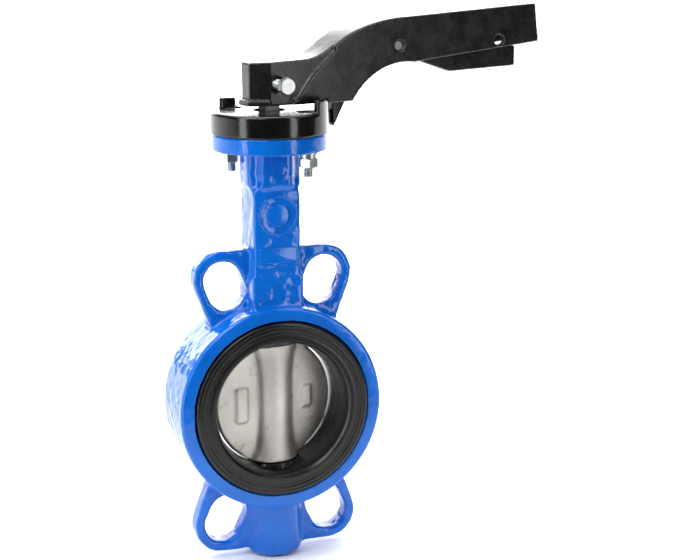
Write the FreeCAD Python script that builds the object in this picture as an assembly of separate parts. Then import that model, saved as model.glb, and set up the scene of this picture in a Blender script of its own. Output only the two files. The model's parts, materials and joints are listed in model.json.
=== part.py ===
"""Wafer butterfly valve with a rubber seat, a two-piece stem and a notched hand lever.

Frame: origin where the flow axis (Y) meets the stem axis (Z). The lever points along +X when the
valve is shut. The lever, disc and upper stem are drawn shut, then turned by open_angle, so the
valve is modelled one notch open. Millimetres and degrees throughout.
"""
import FreeCAD
import Part
import math
import os
from FreeCAD import Vector

os.makedirs("parts", exist_ok=True)

# Wafer ring and waterway
face_to_face = 46.0
lip_proud = 2.0
ring_wall = 8.0
ring_edge_chamfer = 1.2
seat_radius = 38.2
seat_land = 14.0
seat_crown = 0.8
liner_wall = 8.3
mouth_flare = 2.2
mouth_round = 1.4
lip_width = 6.0
lip_depth = 5.0
lip_gap = 0.7
lip_edge = 1.0
groove_inset = 3.6
groove_width = 1.6
groove_floor_width = 0.8
groove_depth = 0.6
stem_pad_margin = 2.5

# Disc
seat_clearance = 0.3
hub_wall = 5.65
hub_waist = 1.0
hub_collar = 8.0
hub_end_clearance = 0.25
disc_plate_thickness = 6.0
disc_rim_thickness = 4.0
disc_rim_width = 1.0
disc_edge_chamfer = 1.2
disc_pad_offset = 21.5
disc_pad_relief = 0.6
disc_pads = [(-1, 7.5, 21.0), (1, 6.5, 13.0)]

# Stems, bushes and seals
stem_diameter = 12.7
square_side = 9.0
drive_square_length = 18.0
stem_depth_in_disc = 24.0
running_clearance = 0.05
stem_hole_clearance = 0.15
square_above_flange = 5.0
bush_wall = 1.6
bush_length = 20.0
bush_from_seat = 1.0
seal_spacer_height = 2.0
thrust_washer_thickness = 1.2
retaining_ring_thickness = 1.2
retaining_ring_play = 0.3
retaining_ring_rim = 1.2
retaining_ring_gap = 3.0
ring_groove_depth = 0.75
thrust_disc_thickness = 1.8
thrust_disc_play = 0.1
plug_height = 8.7
plug_sink = 1.0
plug_shoulder = 1.5
plug_socket = 8.0
plug_socket_depth = 5.0

# Neck, top flange and bottom boss
neck_width = 28.0
neck_collar_width = 31.0
neck_collar_height = 18.0
neck_height = 90.0
flange_thickness = 9.6
flange_inset = 0.7
flare_width = 32.0
flare_height = 21.0
corner_pocket_radius = 9.0
boss_radius = 16.8
boss_length = 33.5
boss_chamfer = 3.0
counterbore_margin = 4.05
counterbore_depth = 4.0
badge_place = 0.69
badge_radius = 11.8
panel_place = 0.23
panel_length = 24.0
panel_height = 12.0
relief_line = 1.2
relief_height = 0.7

# Centring lugs for the line bolts
lug_thickness = 13.0
lug_reach = 18.8
lug_hole_radius = 11.3
lug_wall = 5.5
lug_tip_extra = 0.8
lug_slot = 7.2
lug_slot_shift = 1.5
lug_root = 18.0
lug_flank_angle = 20.2
upper_lug_angle = 22.1
lower_lug_angle = 24.4
lower_lug_inset = 2.3

# Notch plate and its fasteners
plate_radius = 34.2
plate_thickness = 12.7
plate_edge_chamfer = 1.0
plate_hole_gap = 2.85
near_post_width = 3.5
far_post_width = 6.9
near_post_overlap = 3.9
near_post_end = -52.5
far_post_overlap = 1.8
far_post_end = 131.6
notch_width = 4.0
notch_depth = 3.2
notch_step = 10.0
travel = 90.0
bolt_from_rim = 9.2
bolt_radius = 3.0
bolt_hole_clearance = 0.3
bolt_head_radius = 5.0
bolt_head_height = 6.0
bolt_head_sink = 1.0
bolt_socket = 5.0
bolt_socket_depth = 3.0
head_pocket_clearance = 1.0
washer_radius = 6.0
washer_thickness = 1.6
spring_washer_thickness = 2.2
spring_washer_gap = 1.2
nut_across_flats = 10.0
nut_height = 5.5
bolt_end_length = 5.4

# Lever, measured from the stem axis and up from its own underside
open_angle = 10.0
lever_gap = 3.2
lever_length = 181.0
lever_half_width = 12.5
lever_wall = 3.0
head_inset = 1.5
head_height = 25.0
head_tail = 14.9
tail_half_width = 4.8
tail_chamfer_start = 4.3
foot_height = 3.1
foot_start = 5.1
foot_back = 1.8
foot_side = 1.1
shoulder_start = 18.0
shoulder_step = 0.6
shoulder_rise = 22.6
shoulder_shape = [(0.0, 0.0), (0.19, 0.19), (0.37, 0.55), (0.51, 0.74), (0.71, 0.91), (1.0, 1.0)]
shoulder_past_pivot = 8.0
tip_rise = 5.0
tip_slant = 3.0
tip_depth = 23.2
arch_gap = 0.4
arch_past_pivot = 10.6
arch_rise = 20.7
arch_middle = (0.335, 0.71)
crease = [(9.0, 0.0), (14.2, 8.0), (20.5, 16.0), (27.0, 22.0), (36.0, 30.0)]
leg_room = 3.3
socket_depth = 19.0
socket_head_gap = 1.0
stop_clearance = 0.3
clamp_height = 12.2
clamp_stand_off = 8.6
clamp_head_height = 4.2
clamp_across_flats = 9.0
clamp_head_turn = 25.0
clamp_recess_radius = 4.2
clamp_recess_depth = 1.2
padlock_radius = 3.3
padlock_from_tip = 29.7
padlock_height = 31.3

# Trigger, its pin and spring, measured as the lever is
pivot_from_leg = 31.6
pivot_height = 30.7
pin_radius = 2.5
pin_recess = 1.4
pin_recess_radius = 3.3
trigger_boss_radius = 6.0
trigger_eye_inset = 1.5
trigger_side_clearance = 0.3
leg_from_plate = 5.3
leg_width = 8.9
leg_half_width = 4.5
leg_drop = 15.2
leg_toe = 0.5
tooth_half_width = 1.7
tooth_clearance = 0.3
tooth_root = 2.5
tooth_above_flange = 3.0
tooth_below_top = 2.6
arm_upper_edge = [(0.70, 34.5), (0.41, 30.0), (0.16, 20.0), (0.02, 6.0)]
arm_lower_edge = [(0.11, 10.0), (0.37, 19.0), (0.68, 24.5)]
grip_half_width = 8.6
grip_from_tip = 15.0
grip_start = 38.0
grip_floor = 13.5
grip_floor_rise = 1.4
grip_step = 60.0
grip_back = 27.1
spring_from_pivot = 24.0
spring_radius = 3.6
spring_wire = 0.55
spring_turns = 5
spring_play = 0.35
spring_seat_height = 34.4
spring_seat_back = 6.0
spring_seat_front = 7.0
spigot_height = 2.4
spigot_clearance = 0.5

# Places worked out from the sizes above
stem_radius = stem_diameter / 2
bush_radius = stem_radius + bush_wall
bearing_radius = stem_radius + running_clearance
body_bore = seat_radius + liner_wall
lip_radius = body_bore + lip_width
lip_pocket_radius = lip_radius + lip_gap
ring_radius = lip_pocket_radius + ring_wall
half_face = face_to_face / 2
half_width = half_face - lip_proud
lip_back = half_width - lip_depth
disc_radius = seat_radius - seat_clearance
hub_radius = stem_radius + hub_wall
hub_end = math.sqrt(disc_radius ** 2 - hub_radius ** 2)
pad_height = hub_end + hub_end_clearance
stem_pad_radius = hub_radius + stem_pad_margin
socket_floor = hub_end - stem_depth_in_disc
collar_top = ring_radius + neck_collar_height
flange_bottom = ring_radius + neck_height
flange_top = flange_bottom + flange_thickness
flare_bottom = flange_bottom - flare_height
counterbore_radius = bush_radius + counterbore_margin
boss_bottom = -(ring_radius + boss_length)
line_bolt_radius = ring_radius + lug_reach
plate_top = flange_top + plate_thickness
plate_hole_radius = stem_radius + plate_hole_gap
flange_radius = plate_radius - flange_inset
post_plane = lever_half_width + stop_clearance
bolt_offset = (plate_radius - bolt_from_rim) / math.sqrt(2)
bolt_places = [(bolt_offset, -bolt_offset), (-bolt_offset, bolt_offset)]
bolt_seat = plate_top - bolt_head_height - bolt_head_sink
nut_top = flange_bottom - washer_thickness - spring_washer_thickness
nut_bottom = nut_top - nut_height
bolt_end = nut_bottom - bolt_end_length

# Places along the stem
top_bush_top = flange_top - counterbore_depth
retaining_ring_bottom = top_bush_top + thrust_washer_thickness + retaining_ring_play
top_bush_bottom = top_bush_top - bush_length
o_ring_wire = (bush_wall - running_clearance) / 2
spacer_top = top_bush_bottom - 2 * o_ring_wire
spacer_bottom = spacer_top - seal_spacer_height
middle_bush_top = spacer_bottom - 2 * o_ring_wire
bush_start = body_bore + bush_from_seat
foot_o_ring_top = -(bush_start + bush_length)
plug_bottom = boss_bottom + plug_sink
plug_top = plug_bottom + plug_height

# Places on the lever
lever_bottom = plate_top + lever_gap
head_top = lever_bottom + head_height
head_half_width = lever_half_width - head_inset
stem_top = lever_bottom + socket_depth
leg_inner = plate_radius + leg_from_plate
leg_outer = leg_inner + leg_width
pivot_distance = leg_outer + pivot_from_leg
pivot_z = lever_bottom + pivot_height
shoulder_end = pivot_distance + shoulder_past_pivot
shoulder_top = head_top + shoulder_rise
tip_start = lever_length - tip_slant
spring_distance = pivot_distance + spring_from_pivot
spring_seat = lever_bottom + spring_seat_height


def box(x0, x1, y0, y1, z0, z1):
    return Part.makeBox(x1 - x0, y1 - y0, z1 - z0, Vector(x0, y0, z0))


def rod_z(radius, z0, z1, x=0.0, y=0.0):
    return Part.makeCylinder(radius, z1 - z0, Vector(x, y, z0))


def rod_y(radius, y0, y1, x=0.0, z=0.0):
    return Part.makeCylinder(radius, y1 - y0, Vector(x, y0, z), Vector(0, 1, 0))


def tube_z(inner, outer, z0, z1, x=0.0, y=0.0):
    return rod_z(outer, z0, z1, x, y).cut(rod_z(inner, z0, z1, x, y))


def prism_z(points, z0, z1):
    """An upright block whose outline is given in the XY plane."""
    corners = [Vector(x, y, z0) for x, y in points]
    corners.append(corners[0])
    return Part.Face(Part.makePolygon(corners)).extrude(Vector(0, 0, z1 - z0))


def hexagon_z(across_flats, z0, z1, x=0.0, y=0.0):
    radius = across_flats / math.sqrt(3)
    turns = [math.radians(60 * i) for i in range(6)]
    return prism_z([(x + radius * math.cos(t), y + radius * math.sin(t)) for t in turns], z0, z1)


def plate_y(edges, half):
    """A plate whose outline edges lie in the XZ plane, as thick as twice half, centred on Y = 0."""
    solid = Part.Face(Part.Wire(edges)).extrude(Vector(0, 2 * half, 0))
    solid.translate(Vector(0, -half, 0))
    return solid


def slab(points, half):
    """A straight-edged plate from corners in the XZ plane."""
    corners = [Vector(x, 0, z) for x, z in points]
    corners.append(corners[0])
    return plate_y(Part.makePolygon(corners).Edges, half)


def line(start, end):
    return Part.LineSegment(start, end).toShape()


def turned_about_y(points):
    """A ring turned about the flow axis from (radius, y) corners."""
    corners = [Vector(r, y, 0) for r, y in points]
    corners.append(corners[0])
    face = Part.Face(Part.makePolygon(corners))
    return face.revolve(Vector(0, 0, 0), Vector(0, 1, 0), 360)


def turned_about_z(points):
    """A solid turned about the stem axis from (radius, z) corners."""
    corners = [Vector(r, 0, z) for r, z in points]
    corners.append(corners[0])
    face = Part.Face(Part.makePolygon(corners))
    return face.revolve(Vector(0, 0, 0), Vector(0, 0, 1), 360)


def joined(shapes):
    whole = shapes[0]
    for shape in shapes[1:]:
        whole = whole.fuse(shape)
    return whole.removeSplitter()


def turned_open(shape):
    """Turns a piece from the shut position to where it is modelled."""
    shape.rotate(Vector(0, 0, 0), Vector(0, 0, 1), open_angle)
    return shape


def at_bolts(maker):
    return Part.makeCompound([maker(x, y) for x, y in bolt_places])


def save(name, shape):
    if len(shape.Solids) == 1:
        shape = shape.Solids[0]
    shape.exportStep("parts/" + name + ".step")


# ---- Wafer body ----

def lug(side, end, angle, inset):
    """An eye-shaped lug: side -1 or 1 is left or right, end -1 or 1 is bottom or top. Its slot
    takes line bolts on more than one bolt circle."""
    along = math.radians(angle)
    flank = math.radians(lug_flank_angle)
    outwards = Vector(math.sin(along), 0, math.cos(along))
    across = Vector(math.cos(along), 0, -math.sin(along)) * lug_hole_radius
    slot_centre = line_bolt_radius - lug_slot_shift - inset
    slot_inner = outwards * (slot_centre - lug_slot / 2)
    slot_outer = outwards * (slot_centre + lug_slot / 2)
    eye = outwards * (slot_centre + lug_slot / 2 + lug_tip_extra)
    radius = lug_hole_radius + lug_wall
    touch = eye + Vector(math.cos(flank), 0, -math.sin(flank)) * radius
    root = ring_radius - lug_root
    foot_x = touch.x - (touch.z - root) * math.tan(flank)
    half = lug_thickness / 2
    plate = slab([(0, root), (foot_x, root), (touch.x, touch.z), (eye.x, eye.z + radius),
                  (0, eye.z + radius)], half)
    plate = plate.fuse(rod_y(radius, -half, half, eye.x, eye.z))
    corners = [slot_inner + across, slot_outer + across, slot_outer - across, slot_inner - across]
    plate = plate.cut(slab([(c.x, c.z) for c in corners], lug_thickness))
    for centre in (slot_inner, slot_outer):
        plate = plate.cut(rod_y(lug_hole_radius, -half, half, centre.x, centre.z))
    plate.transformShape(FreeCAD.Matrix(side, 0, 0, 0, 0, 1, 0, 0, 0, 0, end, 0, 0, 0, 0, 1))
    return plate


def square_column(width, z0, z1):
    return box(-width / 2, width / 2, -width / 2, width / 2, z0, z1)


def neck_reliefs():
    """A blank ring and a blank panel frame, raised on the front and back of the neck."""
    face = flare_bottom - collar_top
    badge_z = collar_top + badge_place * face
    panel_z = collar_top + panel_place * face
    reach = neck_width / 2 + relief_height
    badge = rod_y(badge_radius, -reach, reach, 0, badge_z)
    badge = badge.cut(rod_y(badge_radius - relief_line, -reach, reach, 0, badge_z))
    long = panel_length / 2
    high = panel_height / 2
    panel = box(-long, long, -reach, reach, panel_z - high, panel_z + high)
    long = long - relief_line
    high = high - relief_line
    return [badge, panel.cut(box(-long, long, -reach, reach, panel_z - high, panel_z + high))]


def make_body_casting():
    edge = ring_edge_chamfer
    flat = half_width - edge
    ring = turned_about_y([(0, -half_width), (ring_radius - edge, -half_width), (ring_radius, -flat),
                           (ring_radius, flat), (ring_radius - edge, half_width), (0, half_width)])
    boss = turned_about_z([(0, 0), (boss_radius, 0), (boss_radius, boss_bottom + boss_chamfer),
                           (boss_radius - boss_chamfer, boss_bottom), (0, boss_bottom)])
    neck = square_column(neck_width, 0, flange_bottom)
    neck = neck.fuse(square_column(flare_width, flare_bottom, flange_bottom))
    for x in (-bolt_offset, bolt_offset):
        for y in (-bolt_offset, bolt_offset):
            pocket_end = flare_bottom + corner_pocket_radius / 2
            neck = neck.cut(rod_z(corner_pocket_radius, pocket_end, flange_bottom, x, y))
            neck = neck.cut(Part.makeSphere(corner_pocket_radius, Vector(x, y, pocket_end)))
    pieces = [ring, boss, neck, square_column(neck_collar_width, 0, collar_top)]
    pieces.append(rod_z(flange_radius, flange_bottom, flange_top))
    pieces.extend(neck_reliefs())
    for side in (-1, 1):
        pieces.append(lug(side, 1, upper_lug_angle, 0))
        pieces.append(lug(side, -1, lower_lug_angle, lower_lug_inset))
    solid = joined(pieces)
    # bore behind the seat, pockets for the seat's lips, stem bore, plug bore and bolt holes
    solid = solid.cut(rod_y(body_bore, -half_width, half_width))
    solid = solid.cut(rod_y(lip_pocket_radius, -half_width, -lip_back))
    solid = solid.cut(rod_y(lip_pocket_radius, lip_back, half_width))
    solid = solid.cut(rod_z(bush_radius, plug_top, flange_top))
    solid = solid.cut(rod_z(bush_radius + plug_shoulder, boss_bottom, plug_top))
    solid = solid.cut(rod_z(counterbore_radius, top_bush_top, flange_top))
    for x, y in bolt_places:
        solid = solid.cut(rod_z(bolt_radius + bolt_hole_clearance, flange_bottom, flange_top, x, y))
    return solid.removeSplitter()


def make_seat_liner():
    """Rubber sleeve: crowned seat, flared mouths, a grooved lip on each face, and flats for the hub."""
    mouth_radius = seat_radius + mouth_flare
    groove_start = lip_radius - groove_inset - groove_width
    groove_end = lip_radius - groove_inset
    slope = (groove_width - groove_floor_width) / 2
    half_profile = [(seat_radius, 0), (seat_radius, seat_land / 2), (seat_radius + seat_crown, lip_back),
                    (mouth_radius, half_face - mouth_round), (mouth_radius + mouth_round, half_face),
                    (groove_start, half_face), (groove_start + slope, half_face - groove_depth),
                    (groove_end - slope, half_face - groove_depth), (groove_end, half_face),
                    (lip_radius - lip_edge, half_face), (lip_radius, half_face - lip_edge),
                    (lip_radius, lip_back), (body_bore, lip_back)]
    other_half = [(r, -y) for r, y in reversed(half_profile[1:])]
    sleeve = turned_about_y(half_profile + other_half)
    pads = rod_z(stem_pad_radius, -body_bore, body_bore).common(rod_y(body_bore, -lip_back, lip_back))
    sleeve = sleeve.fuse(pads)
    sleeve = sleeve.cut(rod_z(stem_pad_radius, -pad_height, pad_height))
    sleeve = sleeve.cut(rod_z(stem_radius + stem_hole_clearance, -body_bore, body_bore))
    return sleeve.removeSplitter()


# ---- Disc and stems ----

def make_disc():
    """Lens-shaped plate with a waisted hub along the stem axis, cut to the seat's sphere."""
    middle = disc_plate_thickness / 2
    rim = disc_rim_thickness / 2
    edge = rim - disc_edge_chamfer
    plate = turned_about_y([(0, -middle), (disc_radius - disc_rim_width, -rim), (disc_radius, -edge),
                            (disc_radius, edge), (disc_radius - disc_rim_width, rim), (0, middle)])
    waist = hub_radius - hub_waist
    hub = turned_about_z([(0, -hub_end), (hub_radius, -hub_end), (waist, hub_collar - hub_end),
                          (waist, hub_end - hub_collar), (hub_radius, hub_end), (0, hub_end)])
    pieces = [plate, hub]
    for side, width, height in disc_pads:
        x = side * disc_pad_offset
        pieces.append(box(x - width / 2, x + width / 2, -middle - disc_pad_relief, 0, -height / 2, height / 2))
    solid = joined(pieces)
    solid = solid.common(Part.makeSphere(disc_radius))
    solid = solid.common(box(-disc_radius, disc_radius, -disc_radius, disc_radius, -hub_end, hub_end))
    shoulder = socket_floor + drive_square_length
    solid = solid.cut(square_column(square_side, socket_floor, shoulder))
    solid = solid.cut(rod_z(stem_radius, shoulder, hub_end))
    solid = solid.cut(rod_z(stem_radius, -hub_end, -socket_floor))
    return turned_open(solid.removeSplitter())


def square_bar(z0, z1):
    """A squared length of stem, with its corners no further out than the round part."""
    return square_column(square_side, z0, z1).common(rod_z(stem_radius, z0, z1))


def make_upper_stem():
    shoulder = socket_floor + drive_square_length
    square_bottom = flange_top + square_above_flange
    bar = joined([square_bar(socket_floor, shoulder), rod_z(stem_radius, shoulder, square_bottom),
                  square_bar(square_bottom, stem_top)])
    groove = tube_z(stem_radius - ring_groove_depth, stem_radius, retaining_ring_bottom,
                    retaining_ring_bottom + retaining_ring_thickness)
    return turned_open(bar.cut(groove))


def make_lower_stem():
    return rod_z(stem_radius, plug_top + thrust_disc_thickness + thrust_disc_play, -socket_floor)


def make_retaining_ring():
    """Open spring ring in the stem's groove, wider than the hole in the notch plate above it."""
    outer = plate_hole_radius + retaining_ring_rim
    top = retaining_ring_bottom + retaining_ring_thickness
    ring = tube_z(stem_radius - ring_groove_depth, outer, retaining_ring_bottom, top)
    half_gap = retaining_ring_gap / 2
    return ring.cut(box(0, outer, -half_gap, half_gap, retaining_ring_bottom, top))


def bush(bottom):
    return tube_z(bearing_radius, bush_radius, bottom, bottom + bush_length)


def o_ring(top):
    return Part.makeTorus(bearing_radius + o_ring_wire, o_ring_wire, Vector(0, 0, top - o_ring_wire))


def make_bottom_plug():
    plug = rod_z(bush_radius + plug_shoulder, plug_bottom, plug_top)
    return plug.cut(hexagon_z(plug_socket, plug_bottom, plug_bottom + plug_socket_depth))


# ---- Notch plate and fasteners ----

def post(start, stop, overlap, width):
    """A stop post: the rim between two angles, standing up past the lever's underside by overlap."""
    height = lever_gap + overlap
    ring = tube_z(plate_radius - width, plate_radius, plate_top - plate_edge_chamfer, plate_top + height)
    reach = 2 * plate_radius
    corners = [(0, 0)]
    for angle in (start, stop):
        corners.append((reach * math.cos(math.radians(angle)), reach * math.sin(math.radians(angle))))
    return ring.common(prism_z(corners, plate_top - plate_edge_chamfer, plate_top + height))


def make_notch_plate():
    edge = plate_edge_chamfer
    plate = turned_about_z([(plate_hole_radius, flange_top), (plate_radius, flange_top),
                            (plate_radius, plate_top - edge), (plate_radius - edge, plate_top),
                            (plate_hole_radius, plate_top)])
    reach = 2 * plate_radius
    near_post = post(near_post_end, 0, near_post_overlap, near_post_width)
    near_post = near_post.common(box(0, reach, -reach, -post_plane, 0, lever_bottom + reach))
    far_post = post(90, far_post_end, far_post_overlap, far_post_width)
    far_post = far_post.common(box(-reach, -post_plane, 0, reach, 0, lever_bottom + reach))
    solid = joined([plate, near_post, far_post])
    for i in range(int(travel / notch_step) + 1):
        notch = box(plate_radius - notch_depth, reach, -notch_width / 2, notch_width / 2, flange_top, plate_top)
        notch.rotate(Vector(0, 0, 0), Vector(0, 0, 1), i * notch_step)
        solid = solid.cut(notch)
    pocket = bolt_head_radius + head_pocket_clearance
    for x, y in bolt_places:
        solid = solid.cut(rod_z(bolt_radius + bolt_hole_clearance, flange_top, plate_top, x, y))
        solid = solid.cut(rod_z(pocket, bolt_seat, lever_bottom + reach, x, y))
    return solid


def plate_bolt(x, y):
    head_top_z = bolt_seat + bolt_head_height
    head = rod_z(bolt_head_radius, bolt_seat, head_top_z, x, y)
    head = head.cut(hexagon_z(bolt_socket, head_top_z - bolt_socket_depth, head_top_z, x, y))
    return head.fuse(rod_z(bolt_radius, bolt_end, bolt_seat, x, y))


def plate_washer(x, y):
    return tube_z(bolt_radius, washer_radius, flange_bottom - washer_thickness, flange_bottom, x, y)


def plate_spring_washer(x, y):
    top = flange_bottom - washer_thickness
    outer = nut_across_flats / 2
    half_gap = spring_washer_gap / 2
    ring = tube_z(bolt_radius, outer, nut_top, top, x, y)
    return ring.cut(box(x, x + outer, y - half_gap, y + half_gap, nut_top, top))


def plate_nut(x, y):
    nut = hexagon_z(nut_across_flats, nut_bottom, nut_top, x, y)
    return nut.cut(rod_z(bolt_radius, nut_bottom, nut_top, x, y))


# ---- Lever, drawn pointing along +X ----

def lever_top_edges(drop):
    """The lever's top edge from tail to tip, let down by drop: a level head, an S and a straight arm."""
    run = shoulder_end - shoulder_start
    rise = shoulder_rise - shoulder_step
    low = head_top + shoulder_step - drop
    points = [Vector(shoulder_start + u * run, 0, low + v * rise) for u, v in shoulder_shape]
    curve = Part.BSplineCurve()
    curve.interpolate(points)
    tail = Vector(-head_tail, 0, head_top - shoulder_step - drop)
    tip = Vector(tip_start, 0, shoulder_top + tip_rise - drop)
    return [line(tail, points[0]), curve.toShape(), line(points[-1], tip)], tail, tip


def lever_blank():
    """The lever's full side outline, with the arch underneath, at its full width."""
    edges, tail, tip = lever_top_edges(0)
    tail_low = Vector(-head_tail, 0, lever_bottom)
    tip_low = Vector(lever_length, 0, tip.z - tip_depth)
    arch_low = Vector(leg_outer + arch_gap, 0, lever_bottom)
    arch_high = Vector(pivot_distance + arch_past_pivot, 0, lever_bottom + arch_rise)
    along, up = arch_middle
    arch_mid = Vector(arch_low.x + along * (arch_high.x - arch_low.x), 0, lever_bottom + up * arch_rise)
    arch = Part.Arc(arch_high, arch_mid, arch_low).toShape()
    edges.extend([line(tip, tip_low), line(tip_low, arch_high), arch])
    edges.extend([line(arch_low, tail_low), line(tail_low, tail)])
    return plate_y(edges, lever_half_width)


def beside_head():
    """What is cut from the flanks so that the head is narrower than the arm, back from the crease."""
    above = 2 * head_height
    behind = -2 * head_tail
    outline = [(behind, lever_bottom), (behind, lever_bottom + above)]
    outline.append((crease[-1][0], lever_bottom + above))
    outline.extend((x, lever_bottom + z) for x, z in reversed(crease))
    flanks = slab(outline, lever_half_width)
    return flanks.cut(box(behind, crease[-1][0], -head_half_width, head_half_width, lever_bottom,
                          lever_bottom + above))


def tail_corner(side):
    """The wedge cut from one side of the tail."""
    wide = side * 2 * lever_half_width
    outline = [(-tail_chamfer_start, side * head_half_width), (-head_tail, side * tail_half_width),
               (-head_tail, wide), (-tail_chamfer_start, wide)]
    return prism_z(outline, lever_bottom, head_top)


def lever_channel():
    """The hollow under the arm: a wall inside the top edge, the flanks and the tip."""
    edges, tail, tip = lever_top_edges(lever_wall)
    floor = lever_bottom - lever_wall
    tail_low = Vector(tail.x, 0, floor)
    tip_low = Vector(tip.x, 0, floor)
    edges.extend([line(tip, tip_low), line(tip_low, tail_low), line(tail_low, tail)])
    inside = lever_half_width - lever_wall
    room = box(leg_inner - leg_room, tip_start - lever_wall, -inside, inside, floor, shoulder_top + tip_rise)
    return plate_y(edges, inside).common(room)


def make_lever():
    solid = lever_blank().cut(beside_head())
    for side in (-1, 1):
        solid = solid.cut(tail_corner(side))
    wide = head_half_width + foot_side
    narrow = tail_half_width + foot_side
    back = -(head_tail + foot_back)
    foot = prism_z([(-foot_start, -wide), (back, -narrow), (back, narrow), (-foot_start, wide)],
                   lever_bottom, lever_bottom + foot_height)
    solid = solid.fuse(foot).cut(lever_channel())
    # square socket, clamp screw hole, pivot pin hole and padlock hole
    solid = solid.cut(square_column(square_side, lever_bottom, stem_top + socket_head_gap))
    clamp_z = lever_bottom + clamp_height
    solid = solid.cut(rod_y(bolt_radius, -lever_half_width, 0, 0, clamp_z))
    recess_floor = clamp_recess_depth - head_half_width
    solid = solid.cut(rod_y(clamp_recess_radius, -lever_half_width, recess_floor, 0, clamp_z))
    solid = solid.cut(rod_y(pin_radius, -lever_half_width, lever_half_width, pivot_distance, pivot_z))
    for side in (-1, 1):
        low, high = sorted((side * (lever_half_width - pin_recess), side * lever_half_width))
        solid = solid.cut(rod_y(pin_recess_radius, low, high, pivot_distance, pivot_z))
    solid = solid.cut(rod_y(padlock_radius, -lever_half_width, lever_half_width,
                            lever_length - padlock_from_tip, lever_bottom + padlock_height))
    return turned_open(solid.removeSplitter())


def make_clamp_screw():
    """Hex-headed screw through the head's flank, its point against a flat of the stem's square."""
    z = lever_bottom + clamp_height
    under_head = -(head_half_width + clamp_stand_off)
    shank = rod_y(bolt_radius, under_head, -square_side / 2, 0, z)
    head = hexagon_z(clamp_across_flats, 0, clamp_head_height)
    head.rotate(Vector(0, 0, 0), Vector(0, 0, 1), clamp_head_turn)
    head.rotate(Vector(0, 0, 0), Vector(1, 0, 0), 90)
    head.translate(Vector(0, under_head, z))
    return turned_open(shank.fuse(head))


def make_pivot_pin():
    reach = lever_half_width - pin_recess
    return turned_open(rod_y(pin_radius, -reach, reach, pivot_distance, pivot_z))


# ---- Trigger ----

def trigger_grip(eye):
    """The bar that the fingers pull, from the pivot back along the arm, with a seat for the spring."""
    end = lever_length - grip_from_tip
    floor = lever_bottom + grip_floor
    back = lever_bottom + grip_back
    return slab([(pivot_distance, pivot_z - eye), (pivot_distance + grip_start, floor),
                 (end, floor + grip_floor_rise), (end, back), (pivot_distance + grip_step, back),
                 (spring_distance + spring_seat_front, spring_seat),
                 (spring_distance - spring_seat_back, spring_seat), (pivot_distance, pivot_z + eye)],
                grip_half_width)


def trigger_arm(eye):
    """The crank from the pivot down past the rim of the notch plate."""
    upper_run = pivot_distance - leg_inner
    lower_run = pivot_distance - leg_outer
    past = pivot_distance + trigger_eye_inset
    outline = [(past, pivot_z + eye)]
    outline.extend((leg_inner + u * upper_run, lever_bottom + z) for u, z in arm_upper_edge)
    toe = leg_inner + leg_toe
    outline.extend([(leg_inner, lever_bottom), (toe, lever_bottom - leg_drop),
                    (toe + leg_toe, lever_bottom - leg_drop + leg_toe), (leg_outer, lever_bottom)])
    outline.extend((leg_outer + u * lower_run, lever_bottom + z) for u, z in arm_lower_edge)
    outline.append((past, pivot_z - eye))
    return slab(outline, leg_half_width)


def make_trigger():
    eye = trigger_boss_radius - trigger_eye_inset
    reach = lever_half_width - lever_wall - trigger_side_clearance
    boss = rod_y(trigger_boss_radius, -reach, reach, pivot_distance, pivot_z)
    tooth = box(plate_radius + tooth_clearance, leg_inner + tooth_root, -tooth_half_width, tooth_half_width,
                flange_top + tooth_above_flange, plate_top - tooth_below_top)
    spigot = rod_z(spring_radius - spring_wire - spigot_clearance, spring_seat - spigot_height,
                   spring_seat + spigot_height, spring_distance)
    solid = joined([trigger_grip(eye), trigger_arm(eye), boss, tooth, spigot])
    solid = solid.cut(rod_y(pin_radius + running_clearance, -reach, reach, pivot_distance, pivot_z))
    return turned_open(solid)


def make_trigger_spring():
    """Coil between the trigger's seat and the roof of the lever's channel."""
    climb = tip_rise / (tip_start - shoulder_end)
    roof = shoulder_top - lever_wall + climb * (spring_distance - spring_radius - spring_wire - shoulder_end)
    height = roof - spring_seat - 2 * spring_wire - spring_play
    helix = Part.makeHelix(height / spring_turns, height, spring_radius)
    section = Part.Wire(Part.makeCircle(spring_wire, Vector(spring_radius, 0, 0), Vector(0, 1, 0)))
    coil = Part.Wire(helix).makePipeShell([section], True, True)
    coil.translate(Vector(spring_distance, 0, spring_seat + spring_wire + spring_play / 2))
    return turned_open(coil)


# ---- All pieces ----

save("body_casting", make_body_casting())
save("seat_liner", make_seat_liner())
save("disc", make_disc())
save("upper_stem", make_upper_stem())
save("lower_stem", make_lower_stem())
save("retaining_ring", make_retaining_ring())
save("thrust_washer", tube_z(stem_radius + stem_hole_clearance, counterbore_radius, top_bush_top,
                             top_bush_top + thrust_washer_thickness))
save("top_bush", bush(top_bush_bottom))
save("upper_o_ring", o_ring(top_bush_bottom))
save("seal_spacer", tube_z(bearing_radius, bush_radius, spacer_bottom, spacer_top))
save("lower_o_ring", o_ring(spacer_bottom))
save("middle_bush", bush(middle_bush_top - bush_length))
save("neck_bush", bush(bush_start))
save("foot_bush", bush(-bush_start - bush_length))
save("foot_o_ring", o_ring(foot_o_ring_top))
save("thrust_disc", rod_z(bush_radius, plug_top, plug_top + thrust_disc_thickness))
save("bottom_plug", make_bottom_plug())
save("notch_plate", make_notch_plate())
save("plate_bolts", at_bolts(plate_bolt))
save("plate_washers", at_bolts(plate_washer))
save("plate_spring_washers", at_bolts(plate_spring_washer))
save("plate_nuts", at_bolts(plate_nut))
save("lever", make_lever())
save("clamp_screw", make_clamp_screw())
save("trigger_pivot_pin", make_pivot_pin())
save("trigger", make_trigger())
save("trigger_spring", make_trigger_spring())
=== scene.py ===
import bmesh
import bpy
import json
import math
import numpy as np
from mathutils import Matrix, Vector, noise


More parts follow.
